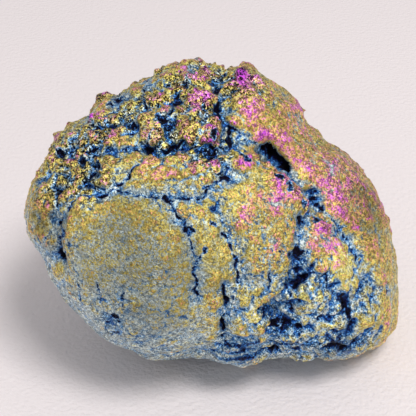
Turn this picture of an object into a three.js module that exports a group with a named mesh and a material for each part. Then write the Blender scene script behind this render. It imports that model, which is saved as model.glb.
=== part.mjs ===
// Agate geode: one closed nodule of agate, standing on a small worn flat, seen from its rough rind.
// The rind is swollen into lobes and lumps, and split by fissures that run between them.
// Millimetres, +Z up, +X to the right of someone facing the stone, origin under its middle on the table.
import * as THREE from "three";
import { ImprovedNoise } from "three/addons/math/ImprovedNoise.js";
import { mergeVertices } from "three/addons/utils/BufferGeometryUtils.js";

// The viewer's place. The stone's face is laid out in picture points, [across, down], as the viewer sees it.
const VIEW_ELEVATION = THREE.MathUtils.degToRad(35);
const VIEW_DISTANCE = 340;
const MM_PER_POINT = 0.245;
const PICTURE_MIDDLE = [208, 208];

// The body. Its right end leans away from the viewer and down.
const BODY_MIDDLE = new THREE.Vector3(-1.2, -0.2, 36);
const BODY_MIDDLE_SEEN = [212, 212];
const FRONT_DEPTH = 33;
const BACK_DEPTH = 38;
const FULLNESS = 2.2;
const LEAN = 0.22;

// The outline that the body shows to the viewer, clockwise from the left end, without its smaller lumps.
const OUTLINE = [
  [27, 214], [36, 184], [52, 145], [82, 116], [116, 95], [150, 77], [192, 62], [222, 67], [251, 70],
  [287, 94], [315, 133], [352, 161], [379, 202], [391, 240], [397, 288], [388, 336], [346, 357],
  [290, 356], [240, 359], [190, 350], [150, 353], [112, 340], [79, 315], [49, 272],
];

// Lobes: the large swellings. Each is a point or a line of picture points, with its reach and height.
const LOBES = {
  greatLeft: { route: [[118, 248], [150, 272], [150, 300]], reach: 21, height: 3.2 },
  leftEnd: { route: [[44, 215], [50, 236]], reach: 9, height: 1.5 },
  lowerLeft: { route: [[66, 276], [92, 308]], reach: 8, height: 1.0 },
  bandOverGreatLobe: { route: [[84, 212], [118, 190], [150, 176], [190, 178]], reach: 7.5, height: 1.5 },
  middle: { route: [[262, 206], [262, 236]], reach: 12, height: 2.6 },
  shelfLeftOfMiddle: { route: [[206, 216], [214, 250], [212, 290]], reach: 9, height: 1.3 },
  ribRightOfMiddle: { route: [[312, 224], [334, 254], [348, 284]], reach: 7, height: 1.6 },
  rightShoulder: { route: [[352, 192], [368, 226], [374, 262]], reach: 13, height: 2.0 },
  lowerRightKnob: { route: [[370, 310]], reach: 7, height: 2.2 },
  lowerRightFoot: { route: [[318, 346], [356, 344], [384, 326]], reach: 5.5, height: 1.4 },
  upperRightSlope: { route: [[258, 100], [284, 128], [306, 152]], reach: 12, height: 1.8 },
  rightCrest: { route: [[344, 166], [357, 172]], reach: 6, height: 1.0 },
  goldHeel: { route: [[258, 300], [256, 326]], reach: 6, height: 1.6 },
  heelBesideIt: { route: [[206, 310], [208, 336]], reach: 6, height: 1.0 },
  bandedFoot: { route: [[216, 350], [240, 357], [264, 356]], reach: 5, height: 2.2 },
};

// Lumps: the smaller knobs of the rind, packed together over the top left.
const LUMPS = [
  { at: [66, 142], reach: 2.9 }, { at: [75, 158], reach: 2.8 }, { at: [54, 154], reach: 2.7 },
  { at: [60, 172], reach: 3.2 }, { at: [79, 179], reach: 3.2 }, { at: [40, 187], reach: 3.4 },
  { at: [104, 99], reach: 3.2 }, { at: [97, 116], reach: 3.1 }, { at: [121, 113], reach: 2.7 },
  { at: [88, 132], reach: 3.0 }, { at: [108, 138], reach: 3.4 }, { at: [101, 156], reach: 2.7 },
  { at: [122, 142], reach: 2.6 }, { at: [138, 137], reach: 2.6 }, { at: [151, 121], reach: 3.2 },
  { at: [157, 97], reach: 3.4 }, { at: [141, 88], reach: 3.0 }, { at: [164, 75], reach: 3.2 },
  { at: [182, 68], reach: 3.0 }, { at: [199, 80], reach: 3.4 }, { at: [206, 66], reach: 3.0 },
  { at: [193, 99], reach: 3.2 }, { at: [188, 124], reach: 4.6 }, { at: [160, 138], reach: 2.8 },
  { at: [243, 79], reach: 3.6 }, { at: [248, 68], reach: 2.4 }, { at: [213, 133], reach: 3.4 },
  { at: [211, 160], reach: 3.6 }, { at: [240, 162], reach: 3.6 }, { at: [250, 112], reach: 4.6 },
  { at: [180, 205], reach: 3.6 }, { at: [308, 268], reach: 3.4 }, { at: [308, 292], reach: 3.2 },
  { at: [286, 338], reach: 3.0 }, { at: [316, 330], reach: 3.4 }, { at: [346, 326], reach: 3.0 },
];
const LUMP_STEEPNESS = 0.36;

// Fissures between the lobes: lines of picture points, each with its depth.
const FISSURE_HALF_WIDTH = 2.5;
const FISSURES = {
  upperLeft: { route: [[150, 152], [138, 165], [128, 176], [112, 189], [97, 198], [77, 201]], depth: 2.0 },
  leftSide: { route: [[77, 201], [69, 211], [60, 224], [62, 238], [66, 252]], depth: 1.8 },
  leftCorner: { route: [[66, 252], [57, 254], [49, 261], [37, 254], [27, 250]], depth: 1.8 },
  aboveGreatLobe: { route: [[112, 189], [139, 195], [161, 199], [170, 204], [177, 216]], depth: 1.8 },
  rightOfGreatLobe: { route: [[177, 216], [186, 228], [190, 246], [196, 262], [197, 294]], depth: 1.7 },
  behindShelf: { route: [[165, 198], [193, 199], [212, 196], [226, 179], [247, 176]], depth: 1.2 },
  leftOfMiddle: { route: [[212, 196], [220, 212], [227, 233], [238, 244], [239, 286]], depth: 1.5 },
  rowOfHoles: { route: [[104, 152], [129, 149], [150, 149], [170, 150], [183, 144], [209, 153]], depth: 2.2 },
  topCleft: { route: [[232, 60], [226, 72], [218, 88], [216, 98], [218, 112], [228, 124]], depth: 2.6 },
  cleftFoot: { route: [[228, 124], [230, 140], [233, 150]], depth: 1.8 },
  cleftToSlot: { route: [[229, 124], [241, 134], [258, 146], [268, 149]], depth: 1.8 },
  valleyBelowSlot: { route: [[268, 149], [300, 182], [326, 216], [339, 231], [353, 255]], depth: 1.8 },
  valleyFoot: { route: [[353, 255], [364, 280]], depth: 1.2 },
  lowerFront: { route: [[225, 284], [225, 300], [224, 322], [224, 342]], depth: 2.3 },
  aboveHollow: { route: [[302, 220], [297, 240], [297, 262], [295, 280], [286, 302]], depth: 1.8 },
  lowerRight: { route: [[341, 296], [346, 312], [342, 330], [332, 345]], depth: 1.8 },
  roundKnob: { route: [[356, 288], [386, 290], [394, 312], [380, 333], [356, 336]], depth: 1.4 },
  heel: { route: [[284, 320], [280, 332], [271, 352], [267, 366]], depth: 2.4 },
  overBandedFoot: { route: [[200, 352], [224, 342], [246, 340], [278, 328]], depth: 2.0 },
  betweenKnobs: { route: [[118, 98], [113, 106], [130, 122], [134, 132], [128, 149]], depth: 1.7 },
  leftKnobs: { route: [[63, 154], [80, 149], [93, 151], [98, 140], [110, 124]], depth: 1.6 },
  lowKnobs: { route: [[83, 160], [92, 170], [92, 184], [86, 196]], depth: 1.5 },
  overGoldKnob: { route: [[178, 96], [173, 111], [168, 124], [172, 134], [168, 148]], depth: 1.7 },
};

// Hollows: holes that go in deep, with the reach of their mouths.
const HOLLOWS = {
  slot: { route: [[267, 149], [276, 156], [284, 165]], reach: 3.0, depth: 6.5 },
  bowlUnderSlot: { route: [[294, 174], [302, 181]], reach: 3.8, depth: 3.0 },
  bluePocket: { route: [[313, 194], [319, 206]], reach: 3.2, depth: 4.2 },
  greatHollow: { route: [[270, 306], [278, 321], [287, 313]], reach: 3.8, depth: 5 },
  blackHole: { route: [[169, 149]], reach: 2.8, depth: 3.6 },
  holeLeftOfIt: { route: [[150, 149]], reach: 2.6, depth: 2.6 },
  leftCornerHole: { route: [[66, 254]], reach: 2.6, depth: 2.2 },
  crestHole: { route: [[118, 99]], reach: 2.6, depth: 2.2 },
  knobHole: { route: [[342, 297]], reach: 2.6, depth: 2.4 },
  footHole: { route: [[304, 350]], reach: 2.8, depth: 2.4 },
};

// The side turned away from the viewer: its own lumps and fissures, in degrees round and above the stone.
const FAR_FISSURE_HALF_WIDTH = 3.6;
const FAR_LUMPS = { count: 90, reach: 8.5, unevenness: 0.9, height: 1.7, edge: -0.1 };
const FAR_FISSURES = {
  overTheBack: { route: [[78, 42], [104, 50], [128, 34], [150, 40], [178, 30], [204, 36]], depth: 2.0 },
  downTheBackRight: { route: [[128, 34], [134, 8], [122, -12], [130, -34]], depth: 1.8 },
  downTheBack: { route: [[178, 30], [186, 4], [172, -18], [180, -36]], depth: 1.7 },
  roundTheRight: { route: [[66, -6], [94, 4], [134, 8]], depth: 1.5 },
  downTheBackLeft: { route: [[204, 36], [226, 14], [252, 8], [268, -12]], depth: 1.8 },
};

// The surface is a ball of small flat facets, which are closer together on the viewer's side.
const FACET_ROWS = 21;
const FACETS_TOWARD_VIEWER = 0.26;
const EVENING = 0.2;

// Broad unevenness of the whole rind.
const UNEVENNESS = { height: 0.7, length: 9 };

const RIND = { colour: 0xa99a5c, roughness: 0.45, metalness: 0.6 };

const noise = new ImprovedNoise();

// The viewer's own axes: to the right, up the picture, and out of the picture.
const RIGHTWARD = new THREE.Vector3(1, 0, 0);
const UPWARD = new THREE.Vector3(0, Math.sin(VIEW_ELEVATION), Math.cos(VIEW_ELEVATION));
const VIEWWARD = new THREE.Vector3(0, -Math.cos(VIEW_ELEVATION), Math.sin(VIEW_ELEVATION));

function fromViewerAxes(right, up, toward) {
  return new THREE.Vector3()
    .addScaledVector(RIGHTWARD, right)
    .addScaledVector(UPWARD, up)
    .addScaledVector(VIEWWARD, toward);
}

// Millimetres right of and above a middle point, for a picture point.
function spreadFrom(middle, [across, down]) {
  return [(across - middle[0]) * MM_PER_POINT, (middle[1] - down) * MM_PER_POINT];
}

const [aimRight, aimUp] = spreadFrom(BODY_MIDDLE_SEEN, PICTURE_MIDDLE);
const AIM = BODY_MIDDLE.clone().add(fromViewerAxes(aimRight, aimUp, 0));
const EYE = AIM.clone().addScaledVector(VIEWWARD, VIEW_DISTANCE);

// The outline as a smooth curve, then as a radius for each angle round the body's middle.
const SPOKES_PER_POINT = 8;
const outlineCurve = new THREE.CatmullRomCurve3(
  OUTLINE.map((point) => {
    const [right, up] = spreadFrom(BODY_MIDDLE_SEEN, point);
    const nearness = 1 + (LEAN * right) / VIEW_DISTANCE;
    return new THREE.Vector3(right * nearness, up * nearness, 0);
  }),
  true,
);
const outlineSpokes = outlineCurve
  .getPoints(OUTLINE.length * SPOKES_PER_POINT)
  .slice(1)
  .map((point) => ({ angle: Math.atan2(point.y, point.x), radius: point.length() }))
  .sort((a, b) => a.angle - b.angle);

function outlineRadius(angle) {
  const turn = 2 * Math.PI;
  const next = outlineSpokes.find((spoke) => spoke.angle > angle) ?? outlineSpokes[0];
  const last = outlineSpokes.at(outlineSpokes.indexOf(next) - 1);
  const span = (next.angle - last.angle + turn) % turn;
  const along = ((angle - last.angle + turn) % turn) / span;
  return THREE.MathUtils.lerp(last.radius, next.radius, along);
}

// How far the bare body reaches from its middle in a direction, before it leans.
function bodyRadius(direction) {
  const right = direction.dot(RIGHTWARD);
  const up = direction.dot(UPWARD);
  const toward = direction.dot(VIEWWARD);
  const rim = outlineRadius(Math.atan2(up, right));
  const depth = toward > 0 ? FRONT_DEPTH : BACK_DEPTH;
  const sum = (Math.hypot(right, up) / rim) ** FULLNESS + (Math.abs(toward) / depth) ** FULLNESS;
  return sum ** (-1 / FULLNESS);
}

// A point on the bare body, leaned.
function bodyPoint(direction) {
  const offset = direction.clone().multiplyScalar(bodyRadius(direction));
  offset.addScaledVector(VIEWWARD, -LEAN * offset.x);
  return offset.add(BODY_MIDDLE);
}

// A point's offset from the body's middle with the lean taken back out.
function straightened(point) {
  const offset = point.clone().sub(BODY_MIDDLE);
  return offset.addScaledVector(VIEWWARD, LEAN * offset.x);
}

// The place on the bare body that the viewer sees at a picture point, or the nearest place on its rim.
function seenPoint(picturePoint) {
  const [right, up] = spreadFrom(PICTURE_MIDDLE, picturePoint);
  const sight = AIM.clone().add(fromViewerAxes(right, up, 0)).sub(EYE).normalize();
  const reach = Math.max(FRONT_DEPTH, BACK_DEPTH) * 2;
  const step = 0.25;
  for (let travelled = VIEW_DISTANCE - reach; travelled < VIEW_DISTANCE + reach; travelled += step) {
    const point = EYE.clone().addScaledVector(sight, travelled);
    const offset = straightened(point);
    if (offset.length() < bodyRadius(offset.clone().normalize())) return point;
  }
  const nearest = new THREE.Ray(EYE, sight).closestPointToPoint(BODY_MIDDLE, new THREE.Vector3());
  return bodyPoint(straightened(nearest).normalize());
}

// A place on the far side, by degrees round the stone from the viewer's side and degrees above level.
function farPoint([round, above]) {
  const angle = THREE.MathUtils.degToRad(round);
  const rise = THREE.MathUtils.degToRad(above);
  const level = new THREE.Vector3(Math.sin(angle), -Math.cos(angle), 0);
  return bodyPoint(level.multiplyScalar(Math.cos(rise)).setZ(Math.sin(rise)));
}

// Distance from a point to a route.
function distanceToRoute(point, route) {
  const nearest = new THREE.Vector3();
  let distance = point.distanceTo(route[0]);
  for (let i = 1; i < route.length; i += 1) {
    new THREE.Line3(route[i - 1], route[i]).closestPointToPoint(point, true, nearest);
    distance = Math.min(distance, point.distanceTo(nearest));
  }
  return distance;
}

// A rounded cap that ends in a crease, so that two caps meet in a valley.
function cap(point, { route, reach, height }) {
  const distance = distanceToRoute(point, route);
  return distance < reach ? height * (1 - (distance / reach) ** 2) : 0;
}

// A dip that is rounded at its lip and at its floor.
function dip(point, { route, reach, depth }) {
  return depth * (1 - THREE.MathUtils.smoothstep(distanceToRoute(point, route) / reach, 0, 1));
}

// Lumps of uneven size, spread over the far side.
function farLumps() {
  const { count, reach, unevenness, height, edge } = FAR_LUMPS;
  const goldenAngle = Math.PI * (3 - Math.sqrt(5));
  const wander = 0.12;
  const spread = Array.from({ length: count }, (_, i) => {
    const toward = 1 - (2 * (i + 0.5)) / count;
    const ring = Math.sqrt(1 - toward * toward);
    const direction = fromViewerAxes(
      ring * Math.cos(i * goldenAngle) + wander * noise.noise(i * 1.7, 5.2, 0.4),
      ring * Math.sin(i * goldenAngle) + wander * noise.noise(i * 1.7, 9.6, 2.8),
      toward,
    ).normalize();
    const size = 1 + unevenness * noise.noise(i * 0.73, 3.3, 8.1);
    return { direction, route: [bodyPoint(direction)], reach: reach * size, height: height * size };
  });
  return spread.filter(({ direction }) => direction.dot(VIEWWARD) < edge);
}

// Features with their routes moved onto the body, and with one reach where they state none of their own.
function placed(features, toPlace, reach) {
  return Object.values(features).map((feature) => ({ reach, ...feature, route: feature.route.map(toPlace) }));
}

const lobes = placed(LOBES, seenPoint);
const lumps = [
  ...LUMPS.map(({ at, reach }) => ({ route: [seenPoint(at)], reach, height: reach * LUMP_STEEPNESS })),
  ...farLumps(),
];
const fissures = [
  ...placed(FISSURES, seenPoint, FISSURE_HALF_WIDTH),
  ...placed(FAR_FISSURES, farPoint, FAR_FISSURE_HALF_WIDTH),
];
const hollows = placed(HOLLOWS, seenPoint);

// The rind's height over the bare body at a point of it.
function relief(point) {
  const highest = (features) => Math.max(...features.map((feature) => cap(point, feature)));
  const deepest = (features) => Math.max(...features.map((feature) => dip(point, feature)));
  const { x, y, z } = point.clone().divideScalar(UNEVENNESS.length);
  const swelling = highest(lobes) + highest(lumps) + UNEVENNESS.height * noise.noise(x, y, z);
  return swelling - deepest(fissures) - deepest(hollows);
}

// Heights with each one drawn a little toward the mean of its neighbours'.
function evened(heights, triangles) {
  const sums = new Float64Array(heights.length);
  const counts = new Uint16Array(heights.length);
  for (let i = 0; i < triangles.count; i += 1) {
    const corner = triangles.getX(i);
    const nextCorner = triangles.getX(i % 3 === 2 ? i - 2 : i + 1);
    sums[corner] += heights[nextCorner];
    counts[corner] += 1;
  }
  return heights.map((height, i) => THREE.MathUtils.lerp(height, sums[i] / counts[i], EVENING));
}

// The rind: each corner goes up from the bare body along the line from its middle, and never under the table.
function rindGeometry() {
  const ball = new THREE.IcosahedronGeometry(1, FACET_ROWS);
  ball.deleteAttribute("normal");
  ball.deleteAttribute("uv");
  const geometry = mergeVertices(ball);
  const corners = geometry.getAttribute("position");
  const points = Array.from({ length: corners.count }, (_, i) => {
    const direction = new THREE.Vector3().fromBufferAttribute(corners, i);
    return bodyPoint(direction.addScaledVector(VIEWWARD, FACETS_TOWARD_VIEWER).normalize());
  });
  const heights = evened(points.map(relief), geometry.getIndex());
  points.forEach((point, i) => {
    const outward = point.clone().sub(BODY_MIDDLE).normalize();
    const raised = point.clone().addScaledVector(outward, heights[i]);
    corners.setXYZ(i, raised.x, raised.y, Math.max(raised.z, 0));
  });
  geometry.computeVertexNormals();
  return geometry;
}

const geode = new THREE.Mesh(
  rindGeometry(),
  new THREE.MeshStandardMaterial({
    color: RIND.colour,
    roughness: RIND.roughness,
    metalness: RIND.metalness,
  }),
);
geode.name = "geode";

const part = new THREE.Group();
part.add(geode);

export default part;
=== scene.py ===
# A whole agate geode under an iridescent metal film, on a pale floor. Metres, +Z up.
import math

import bmesh
import bpy
import numpy as np
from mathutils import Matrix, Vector, noise
from mathutils.bvhtree import BVHTree
from mathutils.kdtree import KDTree


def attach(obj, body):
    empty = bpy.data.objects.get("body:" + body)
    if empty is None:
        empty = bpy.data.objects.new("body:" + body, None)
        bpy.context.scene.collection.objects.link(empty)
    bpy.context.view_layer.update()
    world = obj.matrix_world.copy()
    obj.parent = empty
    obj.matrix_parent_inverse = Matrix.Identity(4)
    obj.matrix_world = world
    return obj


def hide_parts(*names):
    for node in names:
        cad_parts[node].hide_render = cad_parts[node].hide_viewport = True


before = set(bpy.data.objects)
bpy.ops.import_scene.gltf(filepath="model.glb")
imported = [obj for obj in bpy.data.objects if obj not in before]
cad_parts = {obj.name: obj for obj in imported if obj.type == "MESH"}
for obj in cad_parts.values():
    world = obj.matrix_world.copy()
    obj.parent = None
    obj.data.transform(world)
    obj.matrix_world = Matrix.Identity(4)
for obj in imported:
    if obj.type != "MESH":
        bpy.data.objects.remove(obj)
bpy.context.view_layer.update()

# The view
# The stone is seen from in front and above, through a long lens, so that its near and far lobes keep their
# sizes. Its face is laid out in picture points, (across, down), of a picture 416 points square.
MM = 0.001
PICTURE_SIDE = 416
METRES_PER_POINT = 0.245 * MM
VIEW_ELEVATION = math.radians(35)
VIEW_DISTANCE = 340 * MM
BODY_MIDDLE = Vector((-1.2, -0.2, 36)) * MM
BODY_MIDDLE_SEEN = Vector((212, 212))
SENSOR_WIDTH = 36

picture_middle = Vector((PICTURE_SIDE, PICTURE_SIDE)) / 2
rightward = Vector((1, 0, 0))
upward = Vector((0, math.sin(VIEW_ELEVATION), math.cos(VIEW_ELEVATION)))
viewward = Vector((0, -math.cos(VIEW_ELEVATION), math.sin(VIEW_ELEVATION)))


def across_picture(middle, place, point):
    """The place in the picture's plane at a picture point, where the middle point is at a known place."""
    across, down = (Vector(point) - middle) * METRES_PER_POINT
    return place + rightward * across - upward * down


aim = across_picture(BODY_MIDDLE_SEEN, BODY_MIDDLE, picture_middle)
eye = aim + viewward * VIEW_DISTANCE

camera_data = bpy.data.cameras.new("camera")
camera_data.sensor_width = SENSOR_WIDTH
camera_data.lens = SENSOR_WIDTH * VIEW_DISTANCE / (PICTURE_SIDE * METRES_PER_POINT)
camera_data.clip_start = 10 * MM
camera = bpy.data.objects.new("camera", camera_data)
camera.location = eye
camera.rotation_euler = (math.pi / 2 - VIEW_ELEVATION, 0, 0)
bpy.context.scene.collection.objects.link(camera)
bpy.context.scene.camera = camera

# The light
# One square soft light, high up in front and to the right, and pale surroundings that light the stone nearly
# evenly from all round.
WINDOW_PLACE = Vector((0.24, -0.42, 0.90))
WINDOW_SIDE = 0.32
WINDOW_WATTS = 6.7
WINDOW_COLOUR = (1.0, 0.99, 0.985)
ROOM_COLOUR = (0.87, 0.86, 0.875, 1)
ROOM_STRENGTH = 0.60

window_data = bpy.data.lights.new("window", "AREA")
window_data.shape = "SQUARE"
window_data.size = WINDOW_SIDE
window_data.energy = WINDOW_WATTS
window_data.color = WINDOW_COLOUR
window = bpy.data.objects.new("window", window_data)
window.location = WINDOW_PLACE
window.rotation_euler = (BODY_MIDDLE - WINDOW_PLACE).to_track_quat("-Z", "Y").to_euler()
bpy.context.scene.collection.objects.link(window)

room = bpy.data.worlds.new("room")
room.use_nodes = True
bpy.context.scene.world = room
room.node_tree.nodes["Background"].inputs["Color"].default_value = ROOM_COLOUR
room.node_tree.nodes["Background"].inputs["Strength"].default_value = ROOM_STRENGTH
bpy.context.scene.view_settings.view_transform = "Standard"

# The floor
# A plain, pale and slightly warm floor with a fine low grain, which the stone stands on. It is stage, and no
# part of the stone.
TABLE_SIDE = 4.0
TABLE_COLOUR = (0.85, 0.785, 0.785, 1)
TABLE_ROUGHNESS = 0.75
TABLE_SHEEN = 0.2
TABLE_GRAINS_PER_METRE = 800.0
TABLE_GRAIN_HEIGHT = 0.35 * MM

table_mesh = bmesh.new()
bmesh.ops.create_grid(table_mesh, x_segments=1, y_segments=1, size=TABLE_SIDE / 2)
table_data = bpy.data.meshes.new("table")
table_mesh.to_mesh(table_data)
table_mesh.free()
table = bpy.data.objects.new("table", table_data)
bpy.context.scene.collection.objects.link(table)
table_paint = bpy.data.materials.new("pale_table_top")
table_paint.use_nodes = True
table_finish = table_paint.node_tree.nodes["Principled BSDF"]
table_finish.inputs["Base Color"].default_value = TABLE_COLOUR
table_finish.inputs["Roughness"].default_value = TABLE_ROUGHNESS
table_finish.inputs["Specular IOR Level"].default_value = TABLE_SHEEN
table_place = table_paint.node_tree.nodes.new("ShaderNodeTexCoord")
table_grain = table_paint.node_tree.nodes.new("ShaderNodeTexNoise")
table_grain.inputs["Scale"].default_value = TABLE_GRAINS_PER_METRE
table_bump = table_paint.node_tree.nodes.new("ShaderNodeBump")
table_bump.inputs["Strength"].default_value = 1.0
table_bump.inputs["Distance"].default_value = TABLE_GRAIN_HEIGHT
table_paint.node_tree.links.new(table_place.outputs["Object"], table_grain.inputs["Vector"])
table_paint.node_tree.links.new(table_grain.outputs["Fac"], table_bump.inputs["Height"])
table_paint.node_tree.links.new(table_bump.outputs["Normal"], table_finish.inputs["Normal"])
table_data.materials.append(table_paint)

# The stone's form
# One nodule of agate, grown in a gas bubble and freed by weather. The frame's solid gives its lobes, lumps
# and main fissures, and is divided finely and eased here, so that the rind can be carved into it.
FACET_CUTS = 3
EASING_ROUNDS = 7
SAME_CORNER = 0.01 * MM
FLAT_HEIGHT = 0.02 * MM

rind = bmesh.new()
rind.from_mesh(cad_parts["geode"].data)
bmesh.ops.remove_doubles(rind, verts=rind.verts[:], dist=SAME_CORNER)
body_surface = BVHTree.FromBMesh(rind)
bmesh.ops.subdivide_edges(rind, edges=rind.edges[:], cuts=FACET_CUTS, use_grid_fill=True)
flat_corners = [corner for corner in rind.verts if corner.co.z < FLAT_HEIGHT]
round_corners = [corner for corner in rind.verts if corner.co.z >= FLAT_HEIGHT]
for _ in range(EASING_ROUNDS):
    bmesh.ops.smooth_vert(
        rind, verts=round_corners, factor=0.5, use_axis_x=True, use_axis_y=True, use_axis_z=True
    )
rind.normal_update()
rind.verts.ensure_lookup_table()
rind.verts.index_update()

places = np.array([corner.co for corner in rind.verts]) / MM
normals = np.array([corner.normal for corner in rind.verts])
links = np.array([[corner.index for corner in edge.verts] for edge in rind.edges])
link_counts = np.bincount(links.ravel(), minlength=len(places))[:, None]


def eased(values, rounds):
    """Each corner's values drawn toward the mean of its neighbours', a number of times over."""
    for _ in range(rounds):
        neighbour_sums = np.zeros_like(values)
        for column in range(values.shape[1]):
            neighbour_sums[:, column] = np.bincount(
                links.ravel(), weights=values[links[:, ::-1].ravel(), column], minlength=len(values)
            )
        values = (values + neighbour_sums / link_counts) / 2
    return values


def seen_place(point):
    """The place on the stone, in millimetres, that is seen at a picture point."""
    sight = (across_picture(picture_middle, aim, point) - eye).normalized()
    place = body_surface.ray_cast(eye, sight)[0]
    if place is None:
        passing = eye + sight * (BODY_MIDDLE - eye).dot(sight)
        place = body_surface.find_nearest(passing)[0]
    return place / MM


def noise_at(points, length, seed):
    """Smooth noise from about -1 to 1 at each point, with swells of a length in millimetres."""
    shift = Vector((seed * 17.3, seed * 5.9, seed * 11.1))
    return np.array([noise.noise(Vector(point) / length + shift) for point in points])


def drift(length, seeds):
    """How far each corner is moved by smooth noise along X, Y and Z."""
    return np.stack([noise_at(places, length, seed) for seed in seeds], axis=1)


def billows_at(points, length, seed):
    """Rounded swells with sharp creases between them, from 0 in a crease to about 1, in three sizes."""
    shares = ((1.0, 1.0), (0.5, 0.5), (0.25, 0.25))
    return sum(share * np.abs(noise_at(points, length * size, seed + size)) for size, share in shares) * 1.3


def grains_at(points, length, seed):
    """How near each point is to the middle of its grain, from 0 between grains to 1."""
    shift = Vector((seed * 13.7, seed * 7.1, seed * 3.3))
    nearness = np.empty(len(points))
    for index, point in enumerate(points):
        distances = noise.voronoi(Vector(point) / length + shift)[0]
        nearness[index] = min(1.0, (distances[1] - distances[0]) * 1.6)
    return nearness


# The rind's cracks
# The rind split as it dried and weathered. The cracks wander between the lobes as picture points, and each
# has its reach and depth in millimetres. Fainter ones branch all over the stone, its far side too.
# Each crack's reach and depth in millimetres, and its route.
CRACKS = (
    (0.64, 0.75, ((148, 156), (138, 165), (129, 176), (120, 182), (112, 190), (103, 195), (97, 198))),
    (0.56, 0.68, ((97, 198), (84, 198), (77, 201), (72, 204), (69, 211), (63, 218), (60, 224))),
    (0.45, 0.45, ((60, 224), (62, 234), (60, 240), (64, 248), (57, 254))),
    (0.64, 0.60, ((66, 251), (57, 254), (49, 261), (41, 256), (30, 250))),
    (0.45, 0.38, ((49, 261), (51, 267), (53, 275))),
    (0.48, 0.45, ((119, 153), (128, 149), (137, 151))),
    (0.48, 0.52, ((156, 151), (163, 150), (176, 147))),
    (0.80, 1.00, ((176, 147), (184, 142), (193, 149))),
    (0.48, 0.45, ((193, 149), (209, 153), (219, 148))),
    (0.48, 0.52, ((193, 149), (187, 152), (181, 154))),
    (0.95, 1.50, ((226, 72), (222, 78), (219, 84), (218, 90), (215, 96), (217, 105), (218, 112))),
    (0.70, 1.00, ((218, 112), (222, 119), (228, 124), (230, 134), (230, 142), (232, 150))),
    (0.48, 0.60, ((228, 124), (239, 133), (245, 138), (252, 143), (262, 146))),
    (0.48, 0.45, ((321, 209), (326, 216), (333, 221), (339, 231), (347, 238), (353, 255), (364, 280))),
    (0.88, 1.20, ((224, 285), (226, 297), (225, 310), (223, 321), (223, 333), (224, 342))),
    (0.48, 0.45, ((234, 293), (232, 301))),
    (0.48, 0.52, ((204, 250), (197, 262), (194, 272), (195, 284), (198, 296))),
    (0.45, 0.38, ((112, 190), (128, 192), (139, 195), (155, 198), (161, 199))),
    (0.64, 0.83, ((161, 199), (169, 202), (174, 209), (177, 215), (183, 219), (186, 229), (193, 232))),
    (0.45, 0.30, ((186, 229), (187, 238), (190, 248), (195, 256))),
    (0.45, 0.38, ((169, 202), (179, 197), (194, 199), (201, 201), (206, 194))),
    (0.45, 0.45, ((212, 222), (220, 230), (226, 238), (231, 246), (236, 262), (239, 283))),
    (0.45, 0.38, ((204, 187), (212, 183), (220, 180), (225, 176))),
    (0.64, 0.60, ((294, 246), (296, 260), (298, 276), (294, 287), (288, 300))),
    (0.56, 0.68, ((283, 320), (280, 331), (274, 345), (268, 357))),
    (0.48, 0.60, ((321, 265), (326, 278), (331, 291))),
    (0.45, 0.45, ((305, 277), (315, 273), (322, 275))),
    (0.48, 0.52, ((268, 268), (270, 280), (268, 292))),
    (0.48, 0.60, ((338, 294), (346, 303), (350, 312), (352, 322))),
    (0.48, 0.52, ((102, 170), (98, 168), (90, 175), (84, 190))),
    (0.45, 0.38, ((55, 186), (57, 197), (58, 212))),
    (0.45, 0.30, ((50, 232), (46, 247))),
    (0.45, 0.30, ((75, 262), (77, 276), (80, 291), (83, 306))),
    (0.45, 0.30, ((97, 281), (100, 292), (100, 302))),
    (0.45, 0.30, ((125, 293), (122, 300), (121, 306))),
    (0.45, 0.38, ((110, 316), (119, 321))),
    (0.45, 0.38, ((121, 329), (111, 335))),
    (0.48, 0.45, ((239, 150), (243, 155), (249, 162))),
    (0.48, 0.52, ((154, 130), (148, 140), (147, 145))),
    (0.56, 0.68, ((178, 97), (175, 104), (172, 113), (166, 122), (170, 130))),
    (0.48, 0.52, ((205, 103), (208, 114), (206, 124), (197, 138), (193, 149))),
    (0.56, 0.52, ((148, 80), (144, 92), (143, 104), (150, 112))),
    (0.64, 0.60, ((108, 105), (114, 104), (119, 98), (126, 97))),
    (0.45, 0.38, ((192, 65), (187, 76), (185, 88))),
    (0.45, 0.45, ((300, 218), (304, 224), (301, 234))),
    (0.48, 0.52, ((130, 118), (134, 124), (132, 134))),
    (0.45, 0.45, ((225, 163), (222, 169), (218, 174))),
)
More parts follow.
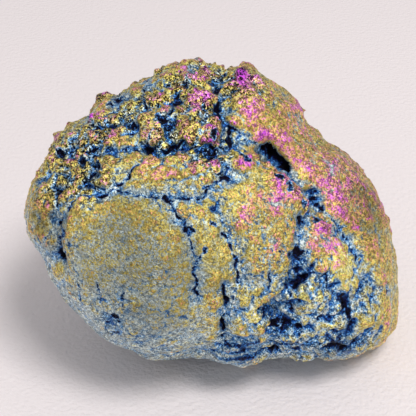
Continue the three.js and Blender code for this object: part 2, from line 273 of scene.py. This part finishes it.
# Each pit's picture point, and its reach and depth in millimetres. The hole is the dark slot's.
PITS = (
    ((66, 254), 1.4, 1.1), ((127, 150), 0.9, 0.7), ((150, 151), 1.0, 0.9), ((169, 150), 1.3, 1.6),
    ((120, 98), 1.3, 1.2), ((112, 105), 1.0, 0.9), ((186, 230), 1.2, 0.9),
    ((165, 197), 1.0, 0.8), ((291, 257), 1.0, 0.7), ((297, 250), 1.9, 0.6), ((300, 222), 1.2, 1.0),
    ((341, 297), 1.2, 1.4), ((350, 312), 1.0, 1.1), ((305, 349), 1.3, 1.3), ((332, 345), 1.1, 1.2),
    ((342, 340), 1.0, 1.2), ((320, 318), 1.1, 1.2), ((372, 333), 1.0, 0.7), ((386, 291), 1.3, 0.9),
    ((205, 192), 1.0, 0.7), ((225, 178), 1.0, 0.7), ((115, 317), 0.9, 0.6),
    ((63, 153), 1.1, 1.2), ((93, 150), 1.2, 1.3), ((83, 160), 1.0, 0.9), ((97, 166), 1.2, 1.1),
    ((134, 122), 0.9, 0.8), ((163, 120), 1.3, 1.1), ((170, 127), 1.1, 1.0), ((218, 118), 1.0, 0.9),
    ((262, 303), 1.5, 1.4), ((276, 322), 1.4, 1.0), ((289, 309), 1.3, 1.2), ((271, 348), 1.1, 1.1),
    ((277, 177), 0.8, 0.6), ((287, 187), 0.8, 0.7), ((297, 194), 0.9, 0.8), ((302, 202), 0.9, 0.8),
    ((308, 214), 0.9, 0.7), ((318, 217), 0.8, 0.6),
    ((292, 344), 1.2, 1.2), ((334, 343), 0.9, 0.9),
    ((313, 200), 1.2, 1.2), ((320, 208), 1.2, 1.0), ((96, 127), 1.0, 0.8), ((213, 134), 0.9, 0.8),
)
HOLE_ROUTE = ((265, 149), (269, 152), (275, 158), (280, 163), (285, 168))
HOLE_REACH = 1.3
HOLE_DEPTH = 5.0
CRACK_STEP = 0.3
CRACK_NEAR = 0.72
CRACK_HALO = 2.2
CRACK_WANDER = 0.75
WANDER_LENGTH = 2.6
FINE_WANDER_LENGTH = 1.1
PIT_WANDER = 0.9
PIT_WANDER_LENGTH = 1.6
FAINT_CRACK_DEPTH = 0.35


def route_places(route):
    """Places along a route of picture points, close enough together to read as a line on the stone."""
    corners = [seen_place(point) for point in route]
    for start, end in zip(corners, corners[1:]):
        steps = max(1, round((end - start).length / CRACK_STEP))
        for step in range(steps):
            yield start.lerp(end, step / steps)
    yield corners[-1]


def carved(distance, reach, depth):
    """How deep a cut with rounded lips is at a distance from its middle."""
    share = np.clip(distance / reach, 0, 1)
    return depth * (1 - share * share * (3 - 2 * share))


def distance_round(points, picture_point):
    """How far each point is from the place seen at a picture point."""
    return np.linalg.norm(points - np.array(seen_place(picture_point)), axis=1)


def distance_along(points, route):
    """How far each point is from the nearest place on a route of picture points."""
    return np.min([np.linalg.norm(points - np.array(place), axis=1) for place in route_places(route)], axis=0)


def near(points, reach):
    """How near each corner is to the closest of some picture points, from 1 at one to 0 past the reach."""
    nearness = np.zeros(len(places))
    for point in points:
        nearness = np.maximum(nearness, carved(distance_round(places, point), reach, 1))
    return nearness


wander = drift(WANDER_LENGTH, (1, 2, 3)) * CRACK_WANDER
wander += drift(FINE_WANDER_LENGTH, (4, 5, 6)) * CRACK_WANDER / 2
wandering = places + wander
patchiness = noise_at(places, 3.2, 12)

crack_places = [(place, width, depth) for width, depth, route in CRACKS for place in route_places(route)]
crack_finder = KDTree(len(crack_places))
for index, (place, width, depth) in enumerate(crack_places):
    crack_finder.insert(place, index)
crack_finder.balance()
crack_depth = np.zeros(len(places))
crack_nearness = np.zeros(len(places))
crack_halo = np.zeros(len(places))
for corner, place in enumerate(wandering):
    _, index, distance = crack_finder.find(place)
    _, width, depth = crack_places[index]
    opening = width * (0.85 + 0.6 * patchiness[corner])
    crack_depth[corner] = carved(distance, opening, depth)
    crack_nearness[corner] = (1.15 - distance / CRACK_NEAR) * (0.8 + 0.3 * depth)
    crack_halo[corner] = max(0.0, 1 - distance / CRACK_HALO)
ragged = wandering + drift(PIT_WANDER_LENGTH, (28, 29, 30)) * PIT_WANDER
for point, reach, depth in PITS:
    distance = distance_round(ragged, point)
    crack_depth = np.maximum(crack_depth, carved(distance, reach, depth))
    crack_nearness = np.maximum(crack_nearness, 1.15 - distance / (reach * 1.8))

hole_depth = HOLE_DEPTH * carved(distance_along(wandering, HOLE_ROUTE), HOLE_REACH, 1) ** 0.5

faint = np.abs(noise_at(wandering, 9.0, 7))
faint_cracks = carved(faint, 0.045, FAINT_CRACK_DEPTH) * (noise_at(places, 8.0, 8) > 0.05)

# The rind's lumps and grains
# Between its cracks the rind is covered in grains of quartz. The crest and the top left are rugged with
# lumps, the foot of the right side is eaten into small hollows, and the great left lobe is nearly smooth.
RUGGED_POINTS = ((75, 150), (100, 130), (130, 115), (150, 95), (180, 85), (200, 110), (215, 75), (240, 85),
                 (170, 135), (205, 150), (60, 180), (85, 175), (50, 150), (72, 120), (95, 98), (125, 82),
                 (155, 70), (185, 62), (210, 62), (243, 68))
RUGGED_REACH = 14.0
RIDGE_POINTS = ((262, 160), (272, 167), (282, 178), (294, 190), (304, 202), (314, 214), (326, 226))
RIDGE_REACH = 4.5
EATEN_POINTS = ((265, 310), (290, 330), (320, 300), (340, 320), (320, 345), (360, 345), (365, 300),
                (300, 290), (285, 352), (312, 356), (345, 353))
EATEN_REACH = 11.0
SMOOTH_POINTS = ((138, 268), (120, 230), (160, 310), (180, 275), (100, 270))
SMOOTH_REACH = 17.0

STREAKED_POINTS = ((255, 240), (285, 235), (310, 250), (330, 255), (270, 265), (230, 255), (245, 280),
                   (255, 310), (300, 270), (225, 300), (205, 240))
STREAKED_REACH = 12.0
WRINKLED_POINTS = ((150, 300), (175, 290), (130, 320), (170, 330), (200, 300))
WRINKLED_REACH = 15.0
BANDED_POINTS = ((215, 350), (240, 352), (262, 345))
BANDED_REACH = 7.0

# Each swell's picture point, and its reach and height in millimetres, below zero for a dip. A swell is drawn
# out along the view by SWELL_LENGTH, so that it shapes the outline there.
SWELLS = (
    ((40, 161), 3.8, -3.0), ((28, 178), 3.2, 0.9), ((79, 110), 4.4, -2.2), ((57, 134), 4.0, 0.2),
    ((98, 97), 3.4, 1.4), ((224, 67), 3.0, -3.2), ((298, 112), 5.0, 1.7), ((264, 75), 3.6, -0.6),
)
SWELL_LENGTH = 5.5

LUMP_LENGTH = 5.6
BILLOW_LENGTH = 7.0
KNOB_LENGTH = 2.5
GRAIN_LENGTH = 1.2
HOLLOW_LENGTH = 2.8
CRUMPLE_LENGTH = 5.0
CRUMPLE_REACH = 1.2

far_side = np.clip(normals[:, 1] * 1.5 - 0.1, 0, 1)
rugged = np.maximum(near(RUGGED_POINTS, RUGGED_REACH), far_side * np.clip(noise_at(places, 22.0, 13), 0, 0.6))
rugged = np.maximum(rugged, 0.7 * near(RIDGE_POINTS, RIDGE_REACH))
eaten = np.maximum(near(EATEN_POINTS, EATEN_REACH), far_side * np.clip(noise_at(places, 24.0, 14), 0, 0.4))
smooth = near(SMOOTH_POINTS, SMOOTH_REACH)
plain = 1 - 0.75 * smooth

across_slope = wandering / np.array((0.8, 0.8, 3.2))
along_slope = wandering / np.array((2.4, 2.4, 0.7))
along_foot = places / np.array((7.0, 7.0, 0.75))
streaked = near(STREAKED_POINTS, STREAKED_REACH)
streaks = noise_at(across_slope, 1.0, 18) * streaked
streaks += noise_at(along_slope, 1.0, 19) * near(WRINKLED_POINTS, WRINKLED_REACH)
bands = noise_at(along_foot, 1.0, 20) * near(BANDED_POINTS, BANDED_REACH)

crumpled = wandering + drift(CRUMPLE_LENGTH, (24, 25, 26)) * CRUMPLE_REACH
lumps = grains_at(crumpled, LUMP_LENGTH, 3)
billows = billows_at(crumpled, BILLOW_LENGTH, 27)
knobs = grains_at(crumpled, KNOB_LENGTH, 1)
grains = grains_at(wandering, GRAIN_LENGTH, 2)
hollows = np.clip(noise_at(wandering, HOLLOW_LENGTH, 16) * 2.4 - 0.2, 0, 1)
sunken = np.clip(np.einsum("ij,ij->i", eased(places, 120) - places, normals) - 0.15, 0, 1.2)
relief = (billows - 0.4) * (0.5 + 0.4 * plain + 1.3 * rugged + 0.9 * eaten) + (lumps - 0.6) * rugged
relief += (knobs - 0.5) * (0.20 * plain + 0.55 * rugged + 0.90 * eaten)
relief += (grains - 0.5) * (0.12 + 0.24 * rugged + 0.20 * eaten) + noise_at(places, 0.9, 11) * 0.10
relief -= hollows * 1.8 * eaten + np.maximum(crack_depth, hole_depth) + faint_cracks * plain
relief += streaks * 0.24 + bands * 0.30 + sunken * (knobs - 0.1) * 1.3

for point, reach, height in SWELLS:
    offsets = places - np.array(seen_place(point))
    offsets -= np.outer(offsets @ np.array(viewward), np.array(viewward)) * (1 - 1 / SWELL_LENGTH)
    relief += carved(np.linalg.norm(offsets, axis=1), reach, height) * (1 + 0.7 * patchiness)

carved_places = places + normals * relief[:, None]
carved_places[:, 2] = np.maximum(carved_places[:, 2], 0)
for corner in flat_corners:
    carved_places[corner.index] = places[corner.index]
for corner, place in zip(rind.verts, carved_places):
    corner.co = Vector(place) * MM
rind.normal_update()

# The film
# The stone was coated in a metal vapour. On grains that stood out to it the film is thick, and goes from
# mustard through gold to magenta. In the gaps and cracks it is thin, and goes from navy to a pale blue. The
# colour also carries painted shade, which darkens recesses, cracks and the slot towards black, and painted
# glints on the grains.
FILM_FACING = np.array((0.40, -0.05, 0.80))
# Patches of film, each with its picture point, its reach in millimetres and a change. A bloom goes towards
# magenta, a brightness patch makes the colour lighter or darker, gilt has more of the thick film, and a bare
# patch has less of it, and then a change of how dark the thin film is. A seam is a bare patch along a route.
BLOOMS = (
    ((300, 130), 19.0, 0.18), ((42, 220), 7.0, -0.10), ((345, 190), 15.0, 0.24), ((265, 205), 9.0, 0.14),
    ((325, 240), 10.0, 0.13),
    ((190, 85), 11.0, 0.14), ((243, 78), 5.2, 0.64), ((249, 113), 5.0, 0.26), ((254, 138), 3.5, 0.26),
    ((266, 136), 3.0, 0.25), ((196, 100), 4.0, 0.30), ((168, 103), 3.5, 0.28), ((186, 70), 3.0, 0.28),
    ((207, 70), 3.0, 0.34), ((211, 140), 4.0, 0.26), ((191, 162), 2.5, 0.26), ((217, 162), 3.5, 0.28),
    ((244, 163), 3.5, 0.24), ((278, 200), 6.0, 0.24), ((313, 229), 4.0, 0.16), ((331, 241), 4.5, 0.24),
    ((72, 157), 2.5, 0.36), ((89, 117), 2.2, 0.50), ((57, 137), 2.0, 0.20), ((110, 133), 3.0, 0.28),
    ((245, 220), 4.0, 0.16), ((250, 205), 4.0, 0.16), ((230, 228), 2.5, 0.26), ((276, 245), 3.0, 0.26),
    ((385, 215), 9.0, 0.25), ((304, 172), 2.4, 0.10), ((160, 340), 16.0, -0.12), ((330, 320), 17.0, -0.14),
    ((255, 320), 5.0, -0.14), ((380, 315), 8.0, -0.08),
)
# Brightness patches. In part they are painted light and shade: they darken the left edge, the lower left and
# the bottom, where the stone turns away from the light, and lighten the lit bowl beside the slot. The rest is
# the film's own tone.
TONE_AND_PAINTED_LIGHT_PATCHES = (
    ((140, 225), 16.0, -0.10), ((140, 270), 16.0, -0.13), ((130, 320), 16.0, -0.12), ((45, 225), 11.0, -0.32),
    ((60, 295), 12.0, -0.46), ((95, 150), 12.0, -0.10), ((180, 95), 13.0, -0.02), ((243, 78), 4.5, -0.05),
    ((268, 115), 8.0, -0.03), ((265, 220), 9.0, -0.10), ((372, 210), 13.0, -0.26), ((335, 150), 8.0, -0.09),
    ((240, 352), 9.0, -0.20), ((340, 350), 9.0, -0.29), ((258, 318), 4.2, 0.85), ((302, 173), 3.0, 0.45),
    ((170, 350), 12.0, -0.10), ((320, 310), 12.0, 0.20), ((226, 312), 4.0, 0.15), ((168, 150), 6.0, 0.50),
    ((375, 310), 8.0, 0.10), ((345, 260), 9.0, 0.55), ((317, 196), 2.5, 0.15),
)
# Over pits, holes and hollows, a bare patch's darker thin film is partly painted shade.
BARE_PATCHES = (
    ((118, 112), 2.4, 0.60, 0.02), ((113, 99), 1.8, 0.50, 0.45), ((104, 103), 1.8, 0.45, -0.02),
    ((109, 121), 2.4, 0.50, 0.25), ((127, 126), 2.0, 0.45, 0.32), ((142, 100), 1.6, 0.35, 0.15),
    ((162, 122), 2.4, 0.45, 0.40), ((176, 104), 1.6, 0.45, 0.40), ((193, 70), 1.4, 0.45, 0.02),
    ((187, 82), 1.4, 0.45, 0.02), ((147, 80), 1.2, 0.40, 0.05), ((143, 92), 1.2, 0.40, 0.05),
    ((72, 139), 3.0, 0.35, 0.08), ((93, 154), 1.8, 0.50, 0.45), ((63, 153), 1.6, 0.50, 0.45),
    ((85, 160), 1.8, 0.40, 0.28), ((95, 164), 2.0, 0.40, 0.30), ((133, 151), 2.2, 0.40, 0.32),
    ((147, 150), 1.4, 0.50, 0.50), ((168, 149), 2.0, 0.50, 0.55), ((184, 150), 2.8, 0.45, 0.30),
    ((160, 159), 2.2, 0.45, -0.05), ((153, 139), 2.0, 0.35, 0.05), ((211, 152), 2.4, 0.35, 0.25),
    ((218, 95), 2.0, 0.50, 0.45), ((218, 108), 2.2, 0.40, 0.40), ((205, 152), 3.0, 0.25, 0.10),
    ((225, 178), 3.0, 0.35, 0.10), ((170, 200), 3.5, 0.25, 0.10), ((299, 180), 2.2, 0.25, -0.15),
    ((315, 200), 3.4, 0.45, 0.05), ((265, 305), 6.0, 0.45, 0.14), ((285, 335), 7.0, 0.30, 0.20),
    ((338, 302), 4.5, 0.25, 0.25), ((240, 352), 9.0, 0.80, 0.26), ((228, 312), 4.5, 0.40, -0.03),
    ((60, 250), 4.0, 0.30, 0.15), ((112, 323), 5.0, 0.35, 0.30), ((330, 345), 8.0, 0.25, 0.20),
    ((150, 340), 14.0, 0.16, 0.00), ((296, 272), 4.0, 0.30, 0.25), ((328, 165), 2.5, 0.40, 0.05),
    ((95, 135), 9.0, 0.10, 0.05), ((145, 270), 13.0, 0.10, 0.00), ((325, 315), 14.0, 0.10, 0.04),
    ((350, 350), 8.0, 0.40, 0.26),
    ((118, 297), 1.2, 0.50, 0.50), ((104, 300), 1.0, 0.50, 0.45), ((98, 290), 0.9, 0.50, 0.40),
    ((152, 335), 1.6, 0.50, 0.45), ((137, 343), 1.6, 0.50, 0.45), ((165, 350), 1.5, 0.50, 0.40),
    ((128, 310), 1.5, 0.45, 0.45), ((113, 268), 1.0, 0.45, 0.40), ((99, 233), 1.0, 0.45, 0.35),
    ((375, 345), 5.0, 0.15, 0.05), ((375, 310), 6.0, 0.16, 0.00), ((140, 325), 13.0, 0.14, 0.05),
)
GILT_PATCHES = (
    ((184, 128), 4.2, 0.40), ((109, 137), 3.2, 0.35), ((71, 161), 2.6, 0.40), ((158, 94), 3.6, 0.35),
    ((202, 76), 4.0, 0.35), ((198, 97), 3.0, 0.35), ((173, 72), 3.0, 0.35), ((135, 92), 2.4, 0.30),
    ((89, 114), 1.8, 0.35), ((243, 78), 4.5, 0.40), ((257, 320), 3.5, 0.45), ((215, 245), 10.0, 0.38),
    ((150, 180), 9.0, 0.10), ((42, 220), 6.0, 0.20), ((345, 260), 9.0, 0.14), ((270, 115), 12.0, 0.22),
    ((150, 95), 7.0, 0.30), ((190, 92), 8.0, 0.32), ((85, 150), 14.0, 0.07), ((180, 125), 5.0, 0.12),
    ((304, 172), 2.6, 0.65), ((328, 210), 1.6, 0.40),
)
SEAMS = (
    (1.3, 0.40, 0.28, ((268, 168), (278, 176), (288, 185), (297, 194), (303, 203), (312, 213), (322, 222))),
    (1.2, 0.70, 0.60, ((268, 356), (275, 347), (284, 341))),
    (1.1, 0.70, 0.60, ((288, 346), (297, 350), (308, 345))),
    # The slot's seam paints its walls bare and near black: painted shade in the deep opening.
    (2.2, 1.30, 0.90, ((263, 148), (268, 152), (274, 158), (280, 164), (285, 169))),
    (1.2, 0.60, -0.05, ((197, 61), (191, 72), (187, 84), (180, 94))),
    (1.2, 0.60, 0.02, ((150, 78), (146, 90), (142, 104))),
    (1.3, 0.50, -0.05, ((166, 115), (180, 112), (190, 108), (200, 110))),
    (1.1, 0.60, 0.30, ((177, 97), (173, 108), (170, 114))),
    (1.3, 0.50, 0.05, ((222, 76), (215, 86), (219, 100), (220, 112))),
    (1.1, 0.50, -0.08, ((341, 154), (333, 166), (326, 182))),
    (0.8, 0.50, 0.28, ((288, 172), (294, 179), (302, 187))),
    (1.0, 0.60, -0.15, ((294, 172), (299, 181))),
    (1.0, 0.45, 0.00, ((234, 143), (245, 150), (256, 160), (266, 168))),
    (1.3, 0.60, 0.45, ((312, 188), (312, 198), (317, 208))),
    (1.1, 0.60, 0.12, ((318, 190), (319, 200))),
    (0.9, 0.60, 0.60, ((212, 352), (225, 358), (240, 360), (255, 357), (262, 350))),
    (0.9, 0.60, 0.60, ((215, 344), (230, 347), (246, 346), (258, 340))),
)

normals = np.array([corner.normal for corner in rind.verts])
fine_form = eased(carved_places, 10)
broad_form = eased(fine_form, 70)
fine_stand = np.einsum("ij,ij->i", carved_places - fine_form, normals)
broad_stand = np.einsum("ij,ij->i", fine_form - broad_form, normals)
facing = eased(normals, 40) @ FILM_FACING

cover = 0.40 + np.where(facing > 0, 0.32, 0.75) * facing
cover += noise_at(places, 7.0, 17) * 0.14 + noise_at(wandering, 2.2, 21) * 0.20 * (0.3 + 0.7 * plain)
cover += (knobs - 0.7) * 0.8 * eaten + (knobs - 0.5) * 0.3 * rugged - hollows * 0.5 * eaten
cover -= crack_halo * (0.22 + 0.15 * patchiness) * (1 - 0.4 * rugged)
cover += np.clip(fine_stand * 1.2, -0.40, 0.25) + np.clip(broad_stand * 0.5, -0.18, 0.25) + streaks * 0.25
right_slope = np.clip((places[:, 0] - 8) / 25, 0, 1) * np.clip(places[:, 2] / 25 - 1, 0, 1)
far_rim = np.clip(normals[:, 0] * 0.8 + normals[:, 1] * 0.6 - 0.35, 0, 1) * right_slope
bloom = 0.24 + 0.14 * facing + noise_at(wandering, 2.8, 22) * 0.14 + far_rim * 0.5
bloom += np.clip(fine_stand * 0.5, -0.20, 0.20) + np.clip(broad_stand * 0.4, -0.15, 0.20)
# How dark the thin film is. It is darker down in recesses, hollows and faint cracks, which is partly the
# film's own navy and partly painted shade.
depth = 0.12 - np.clip(fine_stand * 0.7, -0.28, 0.15) - np.clip(broad_stand * 0.3, -0.14, 0.0)
depth += noise_at(wandering, 2.6, 23) * 0.10 + 0.06 * rugged + faint_cracks * 0.9 - bands * 0.55
depth += -0.08 * smooth + (0.50 - knobs) * 0.45 * eaten + (0.5 - knobs) * 0.2 * rugged + hollows * 0.5 * eaten
bloom -= 0.24 * eaten + 0.06 * smooth
for point, reach, change in BLOOMS:
    bloom += carved(distance_round(wandering, point), reach, change)
for point, reach, bareness, change in BARE_PATCHES:
    nearness = carved(distance_round(wandering, point), reach, 1)
    cover -= nearness * bareness
    depth += nearness * change
for reach, bareness, change, route in SEAMS:
    nearness = carved(distance_along(wandering, route), reach, 1)
    cover -= nearness * bareness
    depth += nearness * change
for point, reach, change in GILT_PATCHES:
    cover += carved(distance_round(wandering, point), reach, change)
# Painted shade: the deep slot counts as the middle of a crack, so its film is painted near black.
crack_nearness = np.where(hole_depth > 0.4, 2.0, crack_nearness)
# Painted shade: the colour is darkened where the rugged crest turns away over its back edge, and a little on
# the right slope. The brightness patches add painted light and shade and the film's own tone.
painted_rim_shade = np.clip(1 - np.abs(eased(normals, 20)[:, 1] - 0.6) / 0.4, 0, 1) * rugged
tone_and_painted_light = 0.68 - 0.10 * right_slope - 0.40 * painted_rim_shade
for point, reach, change in TONE_AND_PAINTED_LIGHT_PATCHES:
    tone_and_painted_light += carved(distance_round(places, point), reach, change)
grit = np.maximum(np.maximum(1.2 * rugged, 0.7 * eaten), np.maximum(0.35 * plain, 0.6 * right_slope))

rind_data = bpy.data.meshes.new("geode_rind")
rind.to_mesh(rind_data)
rind.free()
rind_data.shade_smooth()
film_layers = {
    "cover": cover, "bloom": bloom, "depth": depth, "crack": crack_nearness, "grit": grit, "tone_and_painted_light": tone_and_painted_light,
    "strand": streaked,
}
for layer_name, values in film_layers.items():
    layer = rind_data.attributes.new(layer_name, "FLOAT", "POINT")
    layer.data.foreach_set("value", np.clip(values, -1, 2).astype(np.float32))

geode_rind = bpy.data.objects.new("geode_rind", rind_data)
bpy.context.scene.collection.objects.link(geode_rind)

THICK_COLOURS = (
    (0.00, (0.520, 0.570, 0.500)),
    (0.20, (0.590, 0.580, 0.360)),
    (0.40, (0.620, 0.540, 0.140)),
    (0.55, (0.760, 0.550, 0.120)),
    (0.68, (0.920, 0.430, 0.280)),
    (0.80, (0.930, 0.290, 0.600)),
    (0.92, (0.840, 0.160, 0.780)),
    (1.00, (0.550, 0.080, 0.700)),
)
# Thin film from pale blue to navy. The last, near-black stops are painted shade, reached in the middle of
# cracks, in the slot and in deep recesses.
THIN_FILM_AND_SHADE_COLOURS = (
    (0.00, (0.580, 0.660, 0.630)),
    (0.20, (0.350, 0.500, 0.610)),
    (0.38, (0.125, 0.335, 0.620)),
    (0.55, (0.023, 0.145, 0.480)),
    (0.74, (0.008, 0.035, 0.170)),
    (0.90, (0.010, 0.008, 0.050)),
    (1.00, (0.004, 0.003, 0.014)),
)

film_paint = bpy.data.materials.new("iridescent_film_on_agate")
film_paint.use_nodes = True
tree = film_paint.node_tree
film_finish = tree.nodes["Principled BSDF"]


def add_node(kind, settings=None, **sockets):
    """A node with its settings, and with its sockets set to values or joined to other nodes' outputs."""
    node = tree.nodes.new(kind)
    for name, value in (settings or {}).items():
        setattr(node, name, value)
    for name, value in sockets.items():
        socket = node.inputs[int(name[1:])] if name[0] == "i" and name[1:].isdigit() else node.inputs[name]
        if isinstance(value, bpy.types.NodeSocket):
            tree.links.new(value, socket)
        else:
            socket.default_value = value
    return node


def sums(first, second, operation="ADD"):
    """The output of a math node on two values or outputs."""
    return add_node("ShaderNodeMath", {"operation": operation}, i0=first, i1=second).outputs[0]


def spread(value, low, high, floor, ceiling):
    """A value's range, drawn out onto another range and held inside it."""
    node = add_node("ShaderNodeMapRange", Value=value)
    for name, number in (("From Min", low), ("From Max", high), ("To Min", floor), ("To Max", ceiling)):
        node.inputs[name].default_value = number
    return node.outputs["Result"]


def layer_value(name):
    """A value that the mesh keeps at its corners."""
    return add_node("ShaderNodeAttribute", {"attribute_name": name}).outputs["Fac"]


BLOTCHES_PER_METRE = 650.0
COARSE_GRAINS_PER_METRE = 1300.0
FINE_GRAINS_PER_METRE = 2300.0
GAPS_PER_METRE = 1500.0
WRINKLES_PER_METRE = 900.0
GRAIN_TWIST = 1.2
GRAIN_RELIEF = 0.22 * MM
WRINKLE_SLANT = math.radians(35)
FILM_METALLIC = 0.85


def grain(scale, detail, roughness, place):
    """Grainy noise round zero at a place on the stone, with a number of grains to the metre."""
    node = add_node("ShaderNodeTexNoise", Vector=place, Scale=scale, Detail=detail, Roughness=roughness)
    node.inputs["Distortion"].default_value = GRAIN_TWIST
    return sums(node.outputs["Fac"], 0.5, "SUBTRACT")


def film_colour(value, colours):
    """The film's colour where its thickness has a value from 0 to 1."""
    ramp = add_node("ShaderNodeValToRGB", Fac=value)
    stops = ramp.color_ramp.elements
    while len(stops) < len(colours):
        stops.new(0.5)
    for stop, (position, colour) in zip(stops, colours):
        stop.position = position
        stop.color = (*colour, 1)
    return ramp.outputs["Color"]


stone_place = add_node("ShaderNodeTexCoord").outputs["Object"]
drawn_out = add_node("ShaderNodeMapping", Vector=stone_place, Scale=(1.3, 1.3, 0.35)).outputs[0]
blotches = grain(BLOTCHES_PER_METRE, 2.0, 0.6, stone_place)
coarse_grain = grain(COARSE_GRAINS_PER_METRE, 1.0, 0.6, stone_place)
fine_grain = grain(FINE_GRAINS_PER_METRE, 1.5, 0.7, stone_place)
gaps = grain(GAPS_PER_METRE, 3.0, 0.7, stone_place)
grit_share = layer_value("grit")
calm = spread(grit_share, 0.08, 0.30, 0.45, 1.0)
strand_share = sums(layer_value("strand"), 1.4, "MULTIPLY")
strands = sums(grain(COARSE_GRAINS_PER_METRE, 2.0, 0.6, drawn_out), strand_share, "MULTIPLY")
blotches = sums(blotches, calm, "MULTIPLY")
broad_grain = sums(sums(sums(blotches, 0.7, "MULTIPLY"), coarse_grain), strands)
fine_share = sums(fine_grain, spread(calm, 0.45, 1.0, 2.2, 0.9), "MULTIPLY")
mixed_grain = sums(sums(broad_grain, fine_share), sums(gaps, 0.7, "MULTIPLY"))

# Near the middle of a crack the thin film is drawn towards its near-black colours and the thick film is taken
# away: navy film in part, painted shade in part.
torn_crack = sums(layer_value("crack"), sums(broad_grain, 0.5, "MULTIPLY"))
thin_film_and_shade_share = sums(layer_value("depth"), sums(sums(blotches, coarse_grain), sums(fine_grain, 0.6, "MULTIPLY")))
thin_film_and_shade_share = sums(sums(thin_film_and_shade_share, strands, "SUBTRACT"), sums(gaps, 0.8, "MULTIPLY"), "SUBTRACT")
thin_film_and_shade_share = sums(thin_film_and_shade_share, spread(torn_crack, 0.50, 0.80, 0.0, 0.35))
thin_film_and_shade_share = sums(thin_film_and_shade_share, spread(torn_crack, 0.65, 0.90, 0.0, 0.50))
thin_colour = film_colour(thin_film_and_shade_share, THIN_FILM_AND_SHADE_COLOURS)
thick_share = sums(layer_value("bloom"), sums(coarse_grain, sums(fine_grain, 0.5, "MULTIPLY")))
thick_colour = film_colour(thick_share, THICK_COLOURS)

covered = sums(sums(layer_value("cover"), mixed_grain), spread(torn_crack, 0.35, 0.75, 0.0, 0.9), "SUBTRACT")
covered = spread(covered, 0.44, 0.56, 0.0, 1.0)
film_mix = add_node("ShaderNodeMix", {"data_type": "RGBA"}, i0=covered)
tree.links.new(thin_colour, film_mix.inputs[6])
tree.links.new(thick_colour, film_mix.inputs[7])

# Painted glints and painted shade: the film's colour is multiplied by the gap noise. It goes nearly to black
# between grains and well over its own brightness on them, most of all where the rind is rugged.
painted_glints_and_gap_shade = sums(gaps, spread(grit_share, 0.1, 1.2, 3.0, 32.0), "MULTIPLY")
painted_glints_and_gap_shade = sums(painted_glints_and_gap_shade, spread(grit_share, 0.05, 0.35, 0.95, 1.30))
painted_glints_and_gap_shade = sums(painted_glints_and_gap_shade, spread(grit_share, 0.8, 1.2, 0.0, -0.7))
painted_glints_and_gap_shade = sums(spread(painted_glints_and_gap_shade, 0.04, 2.6, 0.04, 2.6), spread(grit_share, 0.4, 1.0, 0.5, 0.04), "MAXIMUM")
# The colour is also multiplied by the layer of painted light and shade and tone.
painted_glints_and_gap_shade = sums(painted_glints_and_gap_shade, layer_value("tone_and_painted_light"), "MULTIPLY")
film_with_painted_light = add_node("ShaderNodeMix", {"data_type": "RGBA", "blend_type": "MULTIPLY"}, i0=1.0)
tree.links.new(film_mix.outputs[2], film_with_painted_light.inputs[6])
tree.links.new(painted_glints_and_gap_shade, film_with_painted_light.inputs[7])

slanted = add_node("ShaderNodeMapping", {"vector_type": "TEXTURE"}, Vector=stone_place)
slanted.inputs["Rotation"].default_value = (0, WRINKLE_SLANT, 0)
slanted.inputs["Scale"].default_value = (2.6, 1.2, 0.7)
wrinkles = grain(WRINKLES_PER_METRE, 2.0, 0.6, slanted.outputs[0])
wrinkles = sums(wrinkles, spread(calm, 0.45, 1.0, 3.2, 0.4), "MULTIPLY")
grain_height = sums(sums(sums(fine_grain, gaps), sums(coarse_grain, blotches)), wrinkles)
grain_bump = add_node("ShaderNodeBump", Height=grain_height, Strength=1.0, Distance=GRAIN_RELIEF)

tree.links.new(film_with_painted_light.outputs[2], film_finish.inputs["Base Color"])
tree.links.new(grain_bump.outputs["Normal"], film_finish.inputs["Normal"])
tree.links.new(spread(grit_share, 0.2, 1.0, 0.42, 0.28), film_finish.inputs["Roughness"])
film_finish.inputs["Metallic"].default_value = FILM_METALLIC
rind_data.materials.append(film_paint)

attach(geode_rind, "root")
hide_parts("geode")
